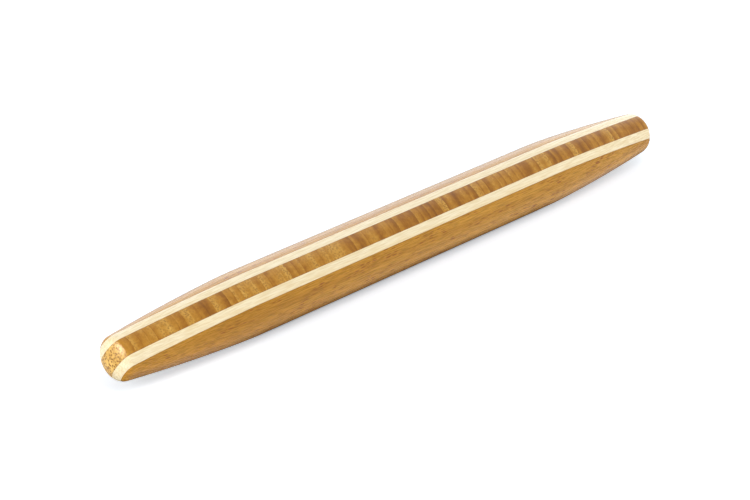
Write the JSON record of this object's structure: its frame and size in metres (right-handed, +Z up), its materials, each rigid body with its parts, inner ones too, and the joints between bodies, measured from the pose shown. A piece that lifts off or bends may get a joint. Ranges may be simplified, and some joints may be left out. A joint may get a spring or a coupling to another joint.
{
  "type": "french rolling pin",
  "caption": "Tapered rolling pin without handles, turned from glued bamboo: two caramel cheeks, two pale strips and a core of crosscut slats.",
  "frame": {"origin": "middle of the pin on its axis, halfway between the tips of the two domed ends", "axes": "+X along the pin, from the end that is near in the picture to the far one; +Z up as the pin lies; the glue faces between the layers lie along X and their tops lean 35 degrees from +Z towards -Y"},
  "size_m": [0.499, 0.0444, 0.0444],
  "materials": {
    "caramel_bamboo": "satin lacquer",
    "pale_bamboo": "satin lacquer",
    "crosscut_bamboo": "satin lacquer"
  },
  "bodies": {
    "root": {"near_cheek": "caramel_bamboo", "near_pale_strip": "pale_bamboo", "middle_core_slat": "crosscut_bamboo", "core_slats_01": "crosscut_bamboo", "core_slats_02": "crosscut_bamboo", "core_slats_03": "crosscut_bamboo", "core_slats_04": "crosscut_bamboo", "core_slats_05": "crosscut_bamboo", "core_slats_06": "crosscut_bamboo", "core_slats_07": "crosscut_bamboo", "core_slats_08": "crosscut_bamboo", "core_slats_09": "crosscut_bamboo", "core_slats_10": "crosscut_bamboo", "core_slats_11": "crosscut_bamboo", "core_slats_12": "crosscut_bamboo", "core_slats_13": "crosscut_bamboo", "core_slats_14": "crosscut_bamboo", "core_slats_15": "crosscut_bamboo", "core_slats_16": "crosscut_bamboo", "core_slats_17": "crosscut_bamboo", "core_slats_18": "crosscut_bamboo", "core_slats_19": "crosscut_bamboo", "core_slats_20": "crosscut_bamboo", "core_slats_21": "crosscut_bamboo", "core_slats_22": "crosscut_bamboo", "core_slats_23": "crosscut_bamboo", "core_slats_24": "crosscut_bamboo", "core_slats_25": "crosscut_bamboo", "core_slats_26": "crosscut_bamboo", "core_slats_27": "crosscut_bamboo", "core_slats_28": "crosscut_bamboo", "core_slats_29": "crosscut_bamboo", "core_slats_30": "crosscut_bamboo", "core_slats_31": "crosscut_bamboo", "core_slats_32": "crosscut_bamboo", "core_slats_33": "crosscut_bamboo", "core_slats_34": "crosscut_bamboo", "core_slats_35": "crosscut_bamboo", "core_slats_36": "crosscut_bamboo", "core_slats_37": "crosscut_bamboo", "core_slats_38": "crosscut_bamboo", "core_slats_39": "crosscut_bamboo", "core_slats_40": "crosscut_bamboo", "core_slats_41": "crosscut_bamboo", "core_slats_42": "crosscut_bamboo", "core_slats_43": "crosscut_bamboo", "far_pale_strip": "pale_bamboo", "far_cheek": "caramel_bamboo"}
  },
  "joints": []
}
